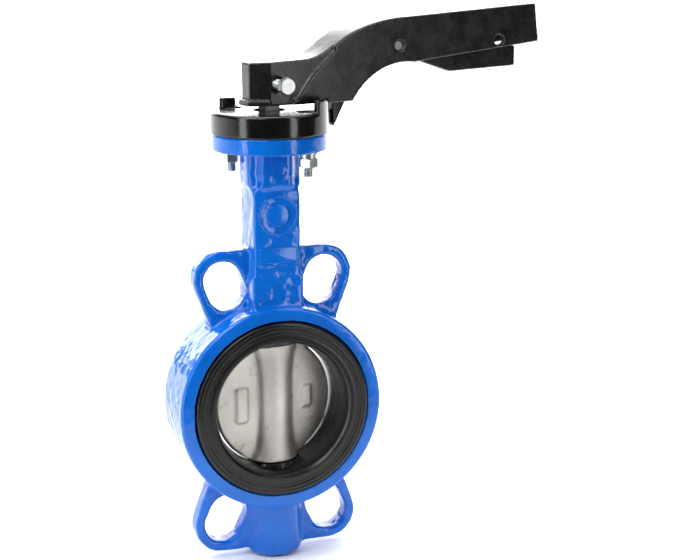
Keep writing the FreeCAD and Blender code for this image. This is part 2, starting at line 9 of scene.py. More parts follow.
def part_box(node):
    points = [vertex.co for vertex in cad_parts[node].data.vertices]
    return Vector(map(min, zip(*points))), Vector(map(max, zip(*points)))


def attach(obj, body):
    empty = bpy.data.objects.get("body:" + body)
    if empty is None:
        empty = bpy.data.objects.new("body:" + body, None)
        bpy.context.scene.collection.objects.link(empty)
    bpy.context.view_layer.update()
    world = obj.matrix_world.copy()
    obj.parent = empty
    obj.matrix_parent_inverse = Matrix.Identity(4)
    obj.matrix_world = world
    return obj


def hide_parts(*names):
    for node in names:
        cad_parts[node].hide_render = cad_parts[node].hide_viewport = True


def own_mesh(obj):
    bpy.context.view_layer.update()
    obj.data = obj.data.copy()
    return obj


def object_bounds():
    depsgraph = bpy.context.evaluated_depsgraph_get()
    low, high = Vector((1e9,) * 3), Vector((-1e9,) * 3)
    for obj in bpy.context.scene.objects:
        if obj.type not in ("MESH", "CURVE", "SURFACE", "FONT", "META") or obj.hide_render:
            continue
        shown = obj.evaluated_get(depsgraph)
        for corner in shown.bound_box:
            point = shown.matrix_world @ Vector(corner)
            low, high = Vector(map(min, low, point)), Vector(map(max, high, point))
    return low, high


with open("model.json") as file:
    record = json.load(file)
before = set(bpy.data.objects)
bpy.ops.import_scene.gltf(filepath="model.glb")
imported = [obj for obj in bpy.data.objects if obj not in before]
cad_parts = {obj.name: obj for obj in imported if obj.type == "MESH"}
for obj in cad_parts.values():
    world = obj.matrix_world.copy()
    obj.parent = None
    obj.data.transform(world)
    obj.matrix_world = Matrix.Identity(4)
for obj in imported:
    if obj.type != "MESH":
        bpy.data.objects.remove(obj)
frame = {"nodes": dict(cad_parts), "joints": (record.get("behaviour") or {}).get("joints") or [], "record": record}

cad_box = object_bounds()
MM = 0.001
joints = {joint["name"]: joint for joint in frame["joints"]}
nodes = frame["nodes"]

# ---------------------------------------------------------------- view

# From laying the CAD model's outline over the photograph.
CAMERA_AZIMUTH = -20.17
CAMERA_ELEVATION = 13.1
CAMERA_DISTANCE = 0.95765
CAMERA_TARGET = Vector((0.0495, 0.0002, 0.06922))
CAMERA_LENS = 82.29


def direction(azimuth, elevation):
    """Unit vector from the object towards a place seen at this azimuth and elevation, in degrees."""
    a = math.radians(azimuth)
    e = math.radians(elevation)
    return Vector((math.sin(a) * math.cos(e), -math.cos(a) * math.cos(e), math.sin(e)))


def make_camera():
    data = bpy.data.cameras.new("camera")
    data.sensor_width = 36.0
    data.lens = CAMERA_LENS
    data.clip_start = 0.01
    data.clip_end = 50.0
    camera = bpy.data.objects.new("camera", data)
    bpy.context.scene.collection.objects.link(camera)
    back = direction(CAMERA_AZIMUTH, CAMERA_ELEVATION)
    camera.location = CAMERA_TARGET + back * CAMERA_DISTANCE
    camera.rotation_mode = "QUATERNION"
    camera.rotation_quaternion = (-back).to_track_quat("-Z", "Y")
    bpy.context.scene.camera = camera


def area_light(name, azimuth, elevation, distance, width, height, power, aim=(0, 0, 0.07), spread=180):
    """A rectangular light at a distance from the point it is aimed at; angles in degrees, power in watts."""
    data = bpy.data.lights.new(name, "AREA")
    data.spread = math.radians(spread)
    data.shape = "RECTANGLE"
    data.size = width
    data.size_y = height
    data.energy = power
    light = bpy.data.objects.new(name, data)
    bpy.context.scene.collection.objects.link(light)
    towards = direction(azimuth, elevation)
    light.location = Vector(aim) + towards * distance
    light.rotation_mode = "QUATERNION"
    light.rotation_quaternion = towards.to_track_quat("Z", "Y")
    light.visible_camera = False


# ---------------------------------------------------------------- node helpers

class Shader:
    """A material's node tree with short calls for the nodes used here."""

    def __init__(self, name):
        self.material = bpy.data.materials.new(name)
        self.material.use_nodes = True
        self.tree = self.material.node_tree
        self.tree.nodes.clear()
        self.surface = self.tree.nodes.new("ShaderNodeBsdfPrincipled")
        output = self.tree.nodes.new("ShaderNodeOutputMaterial")
        self.link(self.surface.outputs[0], output.inputs[0])
        self.object_space = self.tree.nodes.new("ShaderNodeTexCoord").outputs["Object"]

    def link(self, source, target):
        self.tree.links.new(source, target)

    def set(self, **values):
        """Constants for the shader's own sockets, each named in lower case with underscores."""
        for key, value in values.items():
            self.surface.inputs[key.replace("_", " ").title().replace("Ior", "IOR")].default_value = value

    def stretched(self, scale):
        """Object coordinates scaled by a different amount along each axis."""
        mapping = self.tree.nodes.new("ShaderNodeMapping")
        self.link(self.object_space, mapping.inputs["Vector"])
        mapping.inputs["Scale"].default_value = scale
        return mapping.outputs[0]

    def noise(self, scale, detail=2.0, roughness=0.5, vector=None):
        node = self.tree.nodes.new("ShaderNodeTexNoise")
        self.link(vector or self.object_space, node.inputs["Vector"])
        node.inputs["Scale"].default_value = scale
        node.inputs["Detail"].default_value = detail
        node.inputs["Roughness"].default_value = roughness
        return node.outputs["Fac"]

    def ramp(self, value, stops):
        """A colour for each value, from (place, colour) stops."""
        node = self.tree.nodes.new("ShaderNodeValToRGB")
        self.link(value, node.inputs[0])
        ramp = node.color_ramp
        while len(ramp.elements) < len(stops):
            ramp.elements.new(0.5)
        for element, (place, colour) in zip(ramp.elements, stops):
            element.position = place
            element.color = (*colour, 1.0)
        return node.outputs[0]

    def spread(self, value, low, high, from_low=0.0, from_high=1.0):
        """The value's range from_low to from_high, moved to low to high."""
        node = self.tree.nodes.new("ShaderNodeMapRange")
        self.link(value, node.inputs["Value"])
        node.inputs["From Min"].default_value = from_low
        node.inputs["From Max"].default_value = from_high
        node.inputs["To Min"].default_value = low
        node.inputs["To Max"].default_value = high
        return node.outputs[0]

    def mix(self, factor, a, b):
        """Colour a where the factor is 0 and b where it is 1; each may be a socket or plain numbers."""
        node = self.tree.nodes.new("ShaderNodeMix")
        node.data_type = "RGBA"
        self.link(factor, node.inputs["Factor"])
        for socket, value in ((node.inputs[6], a), (node.inputs[7], b)):
            if isinstance(value, tuple):
                socket.default_value = (*value, 1.0)
            else:
                self.link(value, socket)
        return node.outputs[2]

    def edge_highlight_mask(self, low, high):
        """1 on outside edges and 0 elsewhere, from how the surface curves; the mask for a painted highlight along
        edges.
        """
        geometry = self.tree.nodes.new("ShaderNodeNewGeometry")
        return self.spread(geometry.outputs["Pointiness"], 0.0, 1.0, low, high)

    def bump(self, height, strength, distance):
        """Adds a bump to those that the surface already has."""
        node = self.tree.nodes.new("ShaderNodeBump")
        node.inputs["Strength"].default_value = strength
        node.inputs["Distance"].default_value = distance
        self.link(height, node.inputs["Height"])
        last = self.surface.inputs["Normal"]
        if last.is_linked:
            self.link(last.links[0].from_socket, node.inputs["Normal"])
        self.link(node.outputs[0], last)

    def colour(self, value):
        self.link(value, self.surface.inputs["Base Color"])

    def roughness(self, value):
        self.link(value, self.surface.inputs["Roughness"])


# ---------------------------------------------------------------- materials

def blue_epoxy():
    """Glossy epoxy over a rough casting: faint clouds of blue, ripples and orange peel."""
    s = Shader("blue_epoxy")
    s.set(metallic=0.0, specular_ior_level=0.42)
    cloud = s.noise(55, 4)
    s.colour(s.ramp(cloud, [(0.3, (0.001, 0.108, 0.505)), (0.7, (0.002, 0.134, 0.59))]))
    s.roughness(s.spread(s.noise(300, 3), 0.07, 0.17))
    s.bump(s.noise(150, 3), 0.30, 0.0007)
    s.bump(s.noise(700, 2), 0.12, 0.0002)
    return s.material


def seat_rubber(name):
    """Moulded black rubber with a dull sheen and a fine grain."""
    s = Shader(name)
    s.set(metallic=0.0, specular_ior_level=0.36)
    s.colour(s.ramp(s.noise(90, 5), [(0.35, (0.003, 0.003, 0.003)), (0.7, (0.007, 0.0068, 0.0065))]))
    s.roughness(s.spread(s.noise(300, 4), 0.18, 0.32))
    s.bump(s.noise(160, 3), 0.12, 0.0006)
    s.bump(s.noise(2500, 2), 0.1, 0.0002)
    return s.material


def cast_stainless():
    """Blasted cast steel, matt and grainy, with a few brownish stains."""
    s = Shader("cast_stainless")
    s.set(metallic=1.0)
    body = s.ramp(s.noise(45, 6, roughness=0.6), [(0.3, (0.46, 0.438, 0.41)), (0.7, (0.62, 0.598, 0.565))])
    stain = s.spread(s.noise(140, 5, roughness=0.65), 0.0, 1.0, 0.60, 0.72)
    s.colour(s.mix(stain, body, (0.34, 0.30, 0.25)))
    s.roughness(s.spread(s.noise(600, 4), 0.44, 0.64))
    s.bump(s.noise(1100, 3), 0.30, 0.0003)
    s.bump(s.noise(120, 4), 0.20, 0.0006)
    return s.material


def stem_steel():
    """Dark bar with drawing lines along its length."""
    s = Shader("stem_steel")
    s.set(metallic=1.0)
    lines = s.noise(900, 3, vector=s.stretched((1.0, 1.0, 0.04)))
    s.colour(s.ramp(lines, [(0.3, (0.10, 0.10, 0.095)), (0.7, (0.22, 0.215, 0.205))]))
    s.roughness(s.spread(lines, 0.30, 0.50))
    s.bump(lines, 0.15, 0.0002)
    return s.material


def spring_steel():
    s = Shader("spring_steel")
    s.set(metallic=1.0)
    s.colour(s.ramp(s.noise(500, 3), [(0.3, (0.18, 0.18, 0.19)), (0.7, (0.34, 0.34, 0.36))]))
    s.roughness(s.spread(s.noise(800, 3), 0.28, 0.45))
    return s.material


def bush_bronze():
    s = Shader("bush_bronze")
    s.set(metallic=1.0)
    s.colour(s.ramp(s.noise(300, 4), [(0.3, (0.42, 0.27, 0.12)), (0.7, (0.62, 0.43, 0.22))]))
    s.roughness(s.spread(s.noise(700, 3), 0.3, 0.5))
    return s.material


def bright_zinc():
    """Zinc plating, bluish with yellowish patches."""
    s = Shader("bright_zinc")
    s.set(metallic=1.0)
    tint = s.noise(220, 3)
    s.colour(s.ramp(tint, [(0.3, (0.42, 0.45, 0.45)), (0.6, (0.56, 0.58, 0.57)), (0.8, (0.52, 0.51, 0.45))]))
    s.roughness(s.spread(s.noise(1200, 3), 0.26, 0.42))
    s.bump(s.noise(2500, 2), 0.1, 0.0001)
    return s.material


def black_gloss():
    """Thick glossy black paint."""
    s = Shader("black_gloss")
    s.set(metallic=0.0, specular_ior_level=0.45)
    s.colour(s.ramp(s.noise(150, 4), [(0.3, (0.002, 0.002, 0.002)), (0.7, (0.005, 0.005, 0.0045))]))
    s.roughness(s.spread(s.noise(400, 3), 0.10, 0.20))
    s.bump(s.noise(260, 3), 0.16, 0.0005)
    return s.material


def black_satin(name):
    """Thin satin black paint, mottled, with a painted highlight of lighter grey along sharp edges."""
    s = Shader(name)
    s.set(metallic=0.0, specular_ior_level=0.5)
    mottle = s.noise(110, 6, roughness=0.62)
    paint = s.ramp(mottle, [(0.3, (0.004, 0.0042, 0.0038)), (0.7, (0.014, 0.014, 0.0125))])
    # Painted highlight: sharp convex edges are mixed to lighter grey in the base colour, standing in for light
    # caught on the edges.
    s.colour(s.mix(s.edge_highlight_mask(0.53, 0.60), paint, (0.30, 0.30, 0.31)))
    s.roughness(s.spread(mottle, 0.20, 0.34, 0.25, 0.75))
    s.bump(s.noise(1500, 3), 0.12, 0.0002)
    return s.material


materials = {
    "blue_casting": blue_epoxy(),
    "seat_rubber": seat_rubber("seat_rubber"),
    "o_ring_rubber": seat_rubber("o_ring_rubber"),
    "cast_stainless": cast_stainless(),
    "stem_steel": stem_steel(),
    "spring_steel": spring_steel(),
    "bush_bronze": bush_bronze(),
    "zinc_steel": bright_zinc(),
    "black_plate": black_gloss(),
    "black_lever": black_satin("black_lever"),
    "black_trigger": black_satin("black_trigger"),
}
slot_of = {entry["node"]: entry["material_slot"] for entry in frame["record"]["subparts"]}
for name, node in nodes.items():
    node.data.materials.clear()
    node.data.materials.append(materials[slot_of[name]])
nodes["trigger_pivot_pin"].data.materials[0] = black_satin("blackened_pin")


# ---------------------------------------------------------------- mesh helpers

MOST_FACES = 190000      # triangles in one piece


def new_piece(name, mesh, body, slot, *replaced):
    """A finished mesh as a piece that rides on a body, with its slot's material."""
    piece = bpy.data.objects.new(name, mesh)
    bpy.context.scene.collection.objects.link(piece)
    mesh.materials.clear()
    mesh.materials.append(materials[slot])
    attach(piece, body)
    if replaced:
        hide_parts(*replaced)
    return piece


def points_of(mesh):
    """The mesh's points, one row each."""
    flat = np.empty(len(mesh.vertices) * 3)
    mesh.vertices.foreach_get("co", flat)
    return flat.reshape(-1, 3)


def set_points(mesh, points):
    mesh.vertices.foreach_set("co", points.ravel())
    mesh.update()


def with_modifier(mesh, kind, **settings):
    """The mesh after one modifier."""
    holder = bpy.data.objects.new("holder", mesh)
    bpy.context.scene.collection.objects.link(holder)
    modifier = holder.modifiers.new(kind, kind)
    for key, value in settings.items():
        setattr(modifier, key, value)
    depsgraph = bpy.context.evaluated_depsgraph_get()
    result = bpy.data.meshes.new_from_object(holder.evaluated_get(depsgraph))
    bpy.data.objects.remove(holder)
    return result


def relaxed(mesh, rounds, softness):
    """Moves each point towards its neighbours' mean, round after round, which rounds edges and
    fills corners. softness takes the points and gives each a share from 0 to 1."""
    points = points_of(mesh)
    share = np.full(len(points), 1.0) if softness is None else softness(points)
    share = (0.5 * share)[:, None]
    pairs = np.empty(len(mesh.edges) * 2, dtype=np.int64)
    mesh.edges.foreach_get("vertices", pairs)
    a, b = pairs.reshape(-1, 2).T
    count = np.bincount(a, minlength=len(points)) + np.bincount(b, minlength=len(points))
    for _ in range(rounds):
        mean = np.empty_like(points)
        for axis in range(3):
            ahead = np.bincount(a, points[b, axis], len(points))
            behind = np.bincount(b, points[a, axis], len(points))
            mean[:, axis] = (ahead + behind) / count
        points += share * (mean - points)
    set_points(mesh, points)


def swell_at(point, wave_length):
    """Smooth noise in two sizes of wave."""
    coarse = noise.noise(Vector(point) / wave_length)
    fine = noise.noise(Vector(point) / (0.42 * wave_length))
    return coarse + 0.45 * fine


def moulded(node, name, voxel, rounds, most_faces, softness=None, waviness=0.0, wave_length=0.01,
            reshape=None):
    """A copy of a node's mesh remade in small cells, then relaxed like a casting or moulding.

    reshape moves the points before that, and waviness is how high the surface's swells are after it."""
    mesh = nodes[node].data.copy()
    bm = bmesh.new()
    bm.from_mesh(mesh)
    bmesh.ops.remove_doubles(bm, verts=bm.verts, dist=1e-6)
    bm.to_mesh(mesh)
    bm.free()
    mesh = with_modifier(mesh, "REMESH", mode="VOXEL", voxel_size=voxel)
    if reshape:
        points = points_of(mesh)
        reshape(points)
        set_points(mesh, points)
    relaxed(mesh, rounds, softness)
    if waviness:
        points = points_of(mesh)
        normals = np.empty(len(points) * 3)
        mesh.vertices.foreach_get("normal", normals)
        share = np.full(len(points), 1.0) if softness is None else softness(points)
        swell = np.array([swell_at(point, wave_length) for point in points])
        points += normals.reshape(-1, 3) * (swell * share * waviness)[:, None]
        set_points(mesh, points)
    triangles = sum(len(polygon.vertices) - 2 for polygon in mesh.polygons)
    if triangles > most_faces:
        mesh = with_modifier(mesh, "DECIMATE", ratio=most_faces / triangles)
    mesh.shade_smooth()
    mesh.name = name
    return mesh


def grid_mesh(name, rows, closed_rows=False, caps=False, crease=None):
    """A skin over rows of points, each row a closed loop. caps closes the first and last row."""
    bm = bmesh.new()
    made = [[bm.verts.new(point) for point in row] for row in rows]
    pairs = list(zip(made, made[1:] + made[:1])) if closed_rows else list(zip(made, made[1:]))
    for low, high in pairs:
        for i in range(len(low)):
            j = (i + 1) % len(low)
            bm.faces.new((low[i], low[j], high[j], high[i]))
    if caps:
        bm.faces.new(list(reversed(made[0])))
        bm.faces.new(made[-1])
    bmesh.ops.recalc_face_normals(bm, faces=bm.faces)
    mesh = bpy.data.meshes.new(name)
    bm.to_mesh(mesh)
    bm.free()
    mesh.shade_smooth()
    if crease is not None:
        mesh.set_sharp_from_angle(angle=math.radians(crease))
    return mesh


def turns_round(count):
    """Equal steps round a whole turn, in radians."""
    return [2 * math.pi * i / count for i in range(count)]


def circle(radius, height, count, place=Matrix.Identity(4)):
    """A level ring of points."""
    turns = turns_round(count)
    return [place @ Vector((radius * math.cos(t), radius * math.sin(t), height)) for t in turns]


def turned(name, profile, place, count=96, crease=40):
    """A ring turned about the local Z axis from a closed outline of (radius, height) points."""
    rows = [circle(radius, height, count, place) for radius, height in profile]
    return grid_mesh(name, rows, closed_rows=True, crease=crease)


def rounded(corners, radius, steps=4):
    """A closed (radius, height) outline with each corner replaced by an arc."""
    result = []
    for i, corner in enumerate(corners):
        here = Vector(corner)
        back = Vector(corners[i - 1]) - here
        ahead = Vector(corners[(i + 1) % len(corners)]) - here
        reach = min(radius, 0.45 * back.length, 0.45 * ahead.length)
        start = here + back.normalized() * reach
        end = here + ahead.normalized() * reach
        for k in range(steps + 1):
            t = k / steps
            point = start * (1 - t) ** 2 + here * 2 * t * (1 - t) + end * t ** 2
            result.append((point.x, point.y))
    return result


def hexagon_radius(turn, across):
    """From a hexagon's middle to its side in the direction of a turn."""
    from_flat = (math.degrees(turn) % 60) - 30
    return across / 2 / math.cos(math.radians(from_flat))


def hex_rows(across, height, place, hole, chamfer=0.95, count=72):
    """Rows for a hexagon whose corners are turned off at both ends, with a hole through it."""
    inner = across / 2 * chamfer
    slope = math.tan(math.radians(30))
    turns = turns_round(count)

    def corner_radius(turn):
        return hexagon_radius(turn, across)

    def row(radius_of, height_of):
        return [place @ Vector((radius_of(t) * math.cos(t), radius_of(t) * math.sin(t), height_of(t)))
                for t in turns]

    def drop(turn):
        return max(0.0, corner_radius(turn) - inner) * slope

    return [row(lambda t: hole, lambda t: 0.0), row(lambda t: inner, lambda t: 0.0),
            row(corner_radius, drop), row(corner_radius, lambda t: height - drop(t)),
            row(lambda t: inner, lambda t: height), row(lambda t: hole, lambda t: height)]


def thread_rows(radius, pitch, start, end, place, count=36):
    """Rows for a screw thread that runs out at its end."""
    depth = 0.6 * pitch
    rows_per_turn = 8
    steps = max(2, round((end - start) / pitch * rows_per_turn))
    rows = []
    for k in range(steps + 1):
        height = start + (end - start) * k / steps
        fade = min(1.0, (end - height) / pitch)
        row = []
        for i in range(count):
            turn = 2 * math.pi * i / count
            phase = (height / pitch - i / count) % 1.0
            cut = depth * (1.0 - abs(2.0 * phase - 1.0))
            r = radius - cut * (0.3 + 0.7 * fade) - 0.35 * depth * (1.0 - fade)
            row.append(place @ Vector((r * math.cos(turn), r * math.sin(turn), height)))
        rows.append(row)
    return rows


def joined(name, meshes):
    """Several meshes in one."""
    bm = bmesh.new()
    for mesh in meshes:
        bm.from_mesh(mesh)
    mesh = bpy.data.meshes.new(name)
    bm.to_mesh(mesh)
    bm.free()
    return mesh


# ---------------------------------------------------------------- sizes from the frame

def size(node, axis):
    low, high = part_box(node)
    return high[axis] - low[axis]


def low_of(node):
    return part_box(node)[0]


def high_of(node):
    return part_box(node)[1]


flange_top = high_of("body_casting").z
flange_bottom = high_of("plate_washers").z
ring_radius = size("body_casting", 0) / 2
seat_half = size("seat_liner", 1) / 2
lip_radius = size("seat_liner", 2) / 2
ring_half = seat_half - 2 * MM      # the seat's lips stand 2 mm proud of the iron ring
lever_pivot = Vector(joints["trigger_squeeze"]["pos_m"])
open_angle = math.atan2(lever_pivot.y, lever_pivot.x)
lever_frame = Matrix.Rotation(open_angle, 4, "Z")

# Sizes that the frame's boxes don't show: the neck's marks, the fasteners and the lever's clamp.
BADGE_DROP = 36.8 * MM          # from the top flange's underside to the middle of the neck's boss
PANEL_DROP = 60.3 * MM          # and to the middle of its blank panel
NECK_FACE = 13.3 * MM           # how far in front of the stem's axis the reliefs are rooted
BOLT_CIRCLE_RADIUS = 25 * MM
BOLT_RADIUS = 2.95 * MM         # of a 6 mm thread
BOLT_PITCH = 1.0 * MM
NUT_ACROSS = 10 * MM
LEVER_HALF = 11.0 * MM          # the lever's head, to its flank
CLAMP_STANDOFF = 8.6 * MM       # from that flank to the underside of the clamp screw's head
CLAMP_HEAD = 4.2 * MM
CLAMP_ACROSS = 9.0 * MM


# ---------------------------------------------------------------- casting

def casting_softness(points):
    """How freely each part of the casting is rounded: freely as cast, hardly where it is machined."""
    x, y, z = points.T
    share = np.full(len(points), 1.0)
    across = np.hypot(x, z)
    ring_face = (np.abs(y) > ring_half - 5 * MM) & (across < ring_radius + 1 * MM)
    seat_pocket = across < lip_radius + 2 * MM
    flange_rim = (z > flange_bottom - 2 * MM) & (np.hypot(x, y) > 19 * MM)
    flange_face = z > flange_top - 3 * MM
    share[ring_face] = 0.16
    share[seat_pocket] = 0.05
    share[flange_rim] = 0.12
    share[flange_face] = 0.08
    return share


def make_casting():
    mesh = moulded("body_casting", "cast_body", voxel=0.7 * MM, rounds=24, most_faces=MOST_FACES,
                   softness=casting_softness, waviness=0.30 * MM, wave_length=5.5 * MM)
    new_piece("cast_body", mesh, "body", "blue_casting", "body_casting")


make_casting()


def rounded_rectangle(width, height, corner, lift, place, steps=6):
    """A row round a rectangle with rounded corners, at a height above the local XY plane."""
    points = []
    for quarter, (sx, sy) in enumerate(((1, 1), (-1, 1), (-1, -1), (1, -1))):
        centre = (sx * (width / 2 - corner), sy * (height / 2 - corner))
        for k in range(steps + 1):
            turn = math.pi / 2 * (quarter + k / steps)
            across = centre[0] + corner * math.cos(turn)
            along = centre[1] + corner * math.sin(turn)
            points.append(place @ Vector((across, along, lift)))
    return points


def pad(name, width, height, rise, corner, edge, place):
    """A low raised pad with rounded corners and edges, its base on the local XY plane."""
    stages = [(0.0, 0.0)]
    for angle in (0, 30, 60, 90):
        a = math.radians(angle)
        stages.append((edge * (1 - math.cos(a)), rise - edge + edge * math.sin(a)))
    rows = [rounded_rectangle(width - 2 * inset, height - 2 * inset, corner - inset, lift, place)
            for inset, lift in stages]
    return grid_mesh(name, rows, caps=True, crease=50)


def make_neck_reliefs():
    """A plain ring round a plain boss, and a blank panel, raised on the front and the back of the neck."""
    meshes = []
    for side in (0, 180):
        face = Matrix.Rotation(math.radians(side), 4, "Z") @ Matrix.Rotation(math.radians(90), 4, "X")
        badge = face @ Matrix.Translation((0, flange_bottom - BADGE_DROP, NECK_FACE))
        rise = 1.8 * MM
        ring = rounded([(10.3 * MM, 0), (12.0 * MM, 0), (11.8 * MM, rise), (10.5 * MM, rise)], 0.5 * MM)
        meshes.append(turned("ring", ring, badge, 96))
        meshes.append(pad("boss", 13.5 * MM, 13.5 * MM, 1.5 * MM, 6.7 * MM, 0.6 * MM, badge))
        panel = face @ Matrix.Translation((0, flange_bottom - PANEL_DROP, NECK_FACE))
        meshes.append(pad("panel", 22.5 * MM, 9.5 * MM, 1.6 * MM, 1.6 * MM, 0.6 * MM, panel))
    new_piece("neck_reliefs", joined("neck_reliefs", meshes), "body", "blue_casting")


make_neck_reliefs()


# ---------------------------------------------------------------- seat liner

def cutter(mesh):
    """A mesh as a loose object, for a modifier to cut with."""
    holder = bpy.data.objects.new("cutter", mesh)
    bpy.context.scene.collection.objects.link(holder)
    return holder


def groove(radius, width, depth):
    """Corners of a shallow groove in the seat's face, from the inside out, as (radius, depth)."""
    return [(radius - width / 2, 0.0), (radius - width / 5, depth), (radius + width / 5, depth),
            (radius + width / 2, 0.0)]


def make_liner():
    """The rubber seat with concentric grooves on both faces, flats for the hub and holes for the stems.

    Its outline is in millimetres, as (radius, distance from the middle plane), until it is whole."""
    half = seat_half / MM
    outer = lip_radius / MM
    bore = 38.2
    ring_bore = 46.5
    back = 16.0
    grooves = ((45.6, 0.4, 0.15), (47.4, 0.9, 0.35), (49.8, 0.5, 0.2))
    face = [(bore + 0.8, back), (bore + 1.3, back + 2.6), (bore + 2.2, half - 1.6), (bore + 3.6, half)]
    for radius, width, depth in grooves:
        face.extend((r, half - d) for r, d in groove(radius, width, depth))
    face.extend([(outer - 1.5, half), (outer - 0.5, half - 0.5), (outer, half - 1.5)])
    face.extend([(outer, back), (ring_bore, back)])
    land = [(bore, y) for y in range(-7, 8)]
    rise = [(bore + 0.8 * (y - 7) / 9, y) for y in range(8, 16)]
    profile = [(r, -y) for r, y in reversed(rise)] + land + rise
    profile = profile + face + [(r, -y) for r, y in reversed(face)]
    profile = rounded([(r * MM, y * MM) for r, y in profile], 0.22 * MM, 2)
    along = Matrix.Rotation(math.radians(-90), 4, "X")
    mesh = turned("seat", profile, along, 240, crease=35)
    points = points_of(mesh)
    x, y, z = points.T
    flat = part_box("disc")[1].z + 0.25 * MM
    flat_radius = 14.5 * MM
    on_flat = (np.hypot(x, y) < flat_radius) & (np.abs(z) > flat) & (np.hypot(x, z) < 40 * MM)
    points[on_flat, 2] = np.sign(z[on_flat]) * flat
    set_points(mesh, points)
    stem_hole = 6.5 * MM
    past_seat = 60 * MM
    ends = [circle(stem_hole, -past_seat, 48), circle(stem_hole, past_seat, 48)]
    hole = cutter(grid_mesh("hole", ends, caps=True))
    mesh = with_modifier(mesh, "BOOLEAN", operation="DIFFERENCE", solver="EXACT", object=hole)
    bpy.data.objects.remove(hole)
    mesh.shade_smooth()
    mesh.set_sharp_from_angle(angle=math.radians(35))
    new_piece("seat_sleeve", mesh, "body", "seat_rubber", "seat_liner")


make_liner()


# ---------------------------------------------------------------- disc

def in_lever_frame(points):
    """Coordinates along the lever, across it and up."""
    c, s = math.cos(open_angle), math.sin(open_angle)
    x, y, z = points.T
    return c * x + s * y, c * y - s * x, z


def from_lever_frame(x, y, z):
    c, s = math.cos(open_angle), math.sin(open_angle)
    return np.column_stack((c * x - s * y, s * x + c * y, z))


def disc_softness(points):
    """Cast blends round the hub, a crisp machined rim, and pads that keep their outline."""
    x, y, z = in_lever_frame(points)
    out = np.abs(x)
    rim = np.hypot(x, z) > 35.6 * MM
    pads = (out > 16.5 * MM) & (out < 27 * MM) & (np.abs(z) < 12.5 * MM) & (y < 0)
    stem_socket = np.hypot(x, y) < 8 * MM
    share = np.full(len(points), 1.0)
    share[rim] = 0.1
    share[pads] = 0.5
    share[stem_socket] = 0.05
    return share


def shape_hub(points):
    """Widens the hub towards its ends and keeps the whole disc inside the seat's sphere."""
    x, y, z = in_lever_frame(points)
    reach = np.abs(z) / (36 * MM)
    near = np.clip((22 * MM - np.abs(x)) / (8 * MM), 0, 1)
    wider = x * (1 + 0.34 * reach ** 3 * near)
    hub_end = 35.95
    disc_radius = 37.9
    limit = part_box("disc")[1].z / hub_end * disc_radius
    shrink = np.minimum(1.0, limit / np.maximum(np.sqrt(wider ** 2 + y ** 2 + z ** 2), 1e-6))
    points[:] = from_lever_frame(wider * shrink, y * shrink, z * shrink)


def make_disc():
    mesh = moulded("disc", "valve_disc", voxel=0.5 * MM, rounds=44, most_faces=MOST_FACES,
                   softness=disc_softness, waviness=0.05 * MM, wave_length=7 * MM, reshape=shape_hub)
    new_piece("valve_disc", mesh, "lever_and_disc", "cast_stainless", "disc")


make_disc()


# ---------------------------------------------------------------- lever, trigger and notch plate

def shape_crease(points):
    """Slopes the flank's step beside the head, widest low down and fading out up the shoulder."""
    x, y, z = in_lever_frame(points)
    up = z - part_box("lever")[0].z
    step_depth = 1.5 * MM
    step = np.interp(up, np.array([0, 8, 16, 22, 30]) * MM, np.array([9.0, 14.2, 20.5, 27.0, 36.0]) * MM)
    width = np.interp(up, np.array([0, 5, 22, 30]) * MM, np.array([1.1, 1.3, 1.1, 0.7]) * MM)
    past = (x - step) / width
    proud = np.abs(y) > LEVER_HALF + 0.1 * MM
    beside_step = proud & (past < 1) & (up < 31 * MM) & (up > 3.4 * MM) & (x > 0)
    sloped = np.sign(y) * (LEVER_HALF + step_depth * np.clip(past, 0, 1))
    points[:] = from_lever_frame(x, np.where(beside_step, sloped, y), z)


def make_lever():
    mesh = moulded("lever", "hand_lever", voxel=0.55 * MM, rounds=3, most_faces=MOST_FACES,
                   waviness=0.06 * MM, wave_length=14 * MM, reshape=shape_crease)
    new_piece("hand_lever", mesh, "lever_and_disc", "black_lever", "lever")


def make_trigger():
    mesh = moulded("trigger", "trigger_lever", voxel=0.5 * MM, rounds=3, most_faces=150000,
                   waviness=0.05 * MM, wave_length=12 * MM)
    new_piece("trigger_lever", mesh, "trigger", "black_trigger", "trigger")


def make_notch_plate():
    mesh = moulded("notch_plate", "toothed_plate", voxel=0.45 * MM, rounds=5, most_faces=MOST_FACES)
    new_piece("toothed_plate", mesh, "body", "black_plate", "notch_plate")


make_lever()
make_trigger()
make_notch_plate()


# ---------------------------------------------------------------- fasteners

def bolt_places():
    """The two plate bolts' (x, y), opposite each other on their circle."""
    reach = BOLT_CIRCLE_RADIUS / math.sqrt(2)
    return [(reach, -reach), (-reach, reach)]


def make_nuts():
    top = low_of("plate_spring_washers").z
    height = size("plate_nuts", 2)
    meshes = []
    for i, (x, y) in enumerate(bolt_places()):
        place = Matrix.Translation((x, y, top - height)) @ Matrix.Rotation(0.35 + 0.5 * i, 4, "Z")
        rows = hex_rows(NUT_ACROSS, height, place, BOLT_RADIUS + 0.1 * MM)
        meshes.append(grid_mesh("nut", rows, closed_rows=True, crease=28))
    new_piece("hex_nuts", joined("hex_nuts", meshes), "body", "zinc_steel", "plate_nuts")


def make_washers():
    low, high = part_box("plate_washers")
    thick = high.z - low.z
    inner = 3.2 * MM
    outer = 6.0 * MM
    ring = rounded([(inner, 0), (outer, 0), (outer, thick), (inner, thick)], 0.25 * MM)
    meshes = [turned("washer", ring, Matrix.Translation((x, y, low.z)), 64) for x, y in bolt_places()]
    new_piece("flat_washers", joined("flat_washers", meshes), "body", "zinc_steel", "plate_washers")


